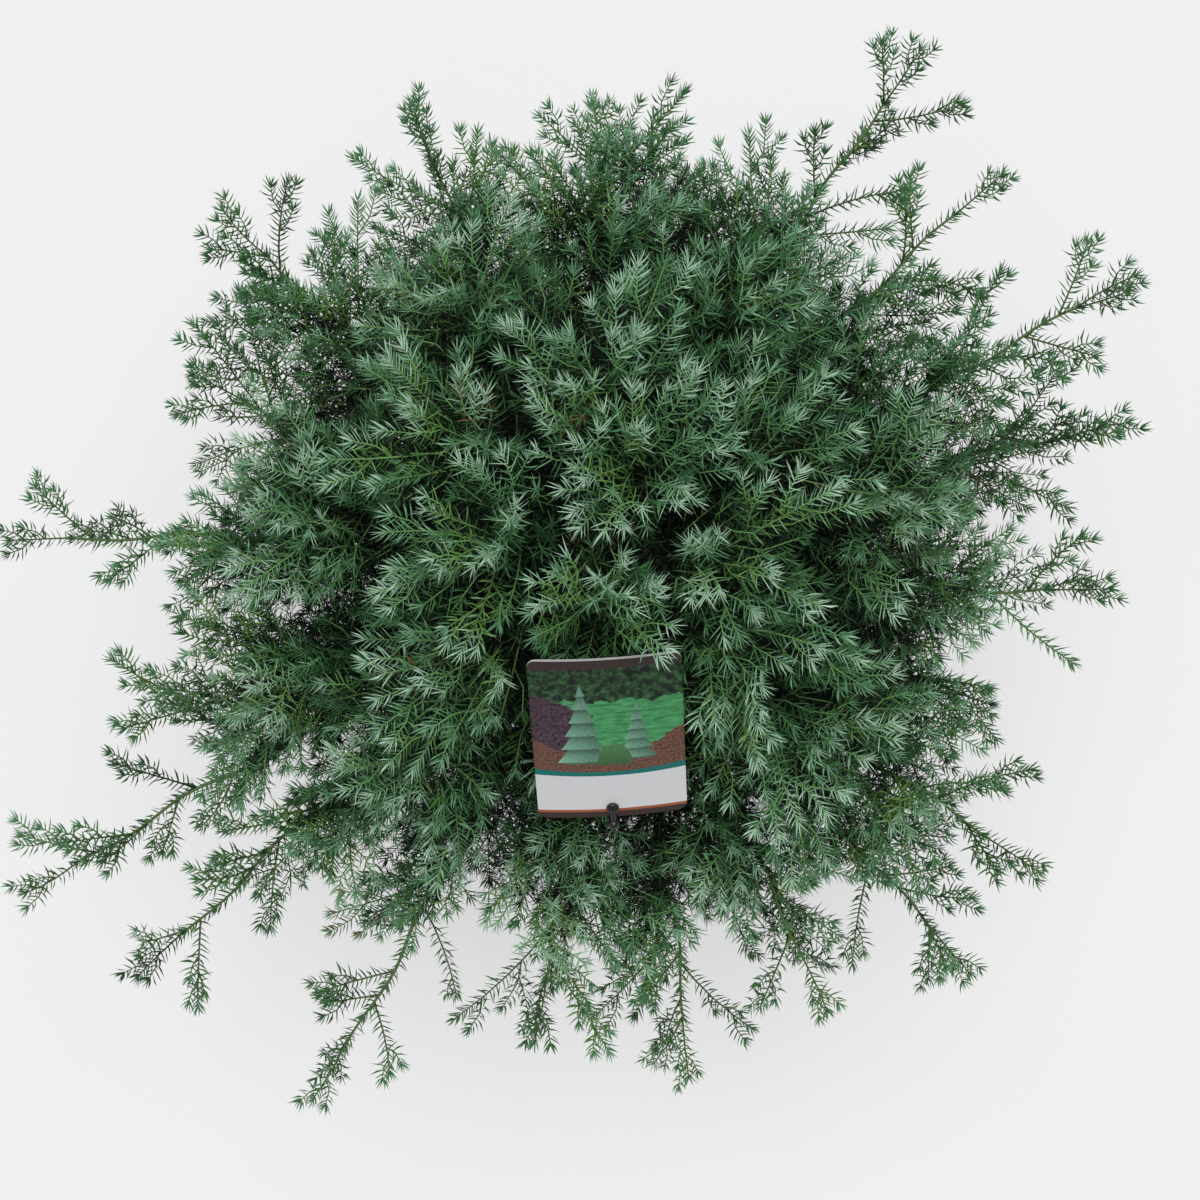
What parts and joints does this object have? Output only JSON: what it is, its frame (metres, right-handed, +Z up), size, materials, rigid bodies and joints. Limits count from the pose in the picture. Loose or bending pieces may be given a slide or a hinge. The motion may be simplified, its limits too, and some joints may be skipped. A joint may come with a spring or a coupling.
{
  "type": "sawara cypress",
  "caption": "Young sawara cypress, a low bushy mound of soft blue-green needles with long side shoots, in a plain round nursery pot with a label on a stick.",
  "frame": {"origin": "centre of the pot's flat underside", "axes": "+Z up along the pot's axis; -Y towards the side that carries the label"},
  "size_m": [0.4941, 0.4666, 0.4195],
  "materials": {
    "bark": "matte",
    "foliage": "matte",
    "label_card": "satin",
    "label_stick": "satin",
    "pot_plastic": "satin",
    "potting_mix": "matte"
  },
  "bodies": {
    "root": {"bough_low_01": "bark", "bough_low_02": "bark", "bough_low_03": "bark", "bough_low_04": "bark", "bough_low_07": "bark", "bough_low_08": "bark", "bough_low_10": "bark", "bough_low_11": "bark", "bough_low_12": "bark", "bough_low_13": "bark", "bough_low_14": "bark", "bough_low_15": "bark", "bough_low_16": "bark", "bough_low_17": "bark", "bough_low_18": "bark", "bough_low_19": "bark", "bough_low_21": "bark", "foliage_crown_01": "foliage", "foliage_crown_02": "foliage", "foliage_crown_03": "foliage", "foliage_crown_04": "foliage", "foliage_leader": "foliage", "foliage_low_01": "foliage", "foliage_low_02": "foliage", "foliage_low_03": "foliage", "foliage_low_04": "foliage", "foliage_low_05": "foliage", "foliage_low_06": "foliage", "foliage_low_07": "foliage", "foliage_low_08": "foliage", "foliage_low_09": "foliage", "foliage_low_10": "foliage", "foliage_low_11": "foliage", "foliage_low_12": "foliage", "foliage_low_13": "foliage", "foliage_low_14": "foliage", "foliage_low_15": "foliage", "foliage_low_16": "foliage", "foliage_low_17": "foliage", "foliage_low_18": "foliage", "foliage_low_19": "foliage", "foliage_low_20": "foliage", "foliage_low_21": "foliage", "foliage_middle_01": "foliage", "foliage_middle_02": "foliage", "foliage_middle_03": "foliage", "foliage_middle_04": "foliage", "foliage_middle_05": "foliage", "foliage_middle_06": "foliage", "foliage_top_01": "foliage", "foliage_top_02": "foliage", "foliage_top_03": "foliage", "foliage_top_04": "foliage", "label_card": "label_card", "label_stick": "label_stick", "pot": "pot_plastic", "potting_mix": "potting_mix", "trunk": "bark"}
  },
  "joints": []
}
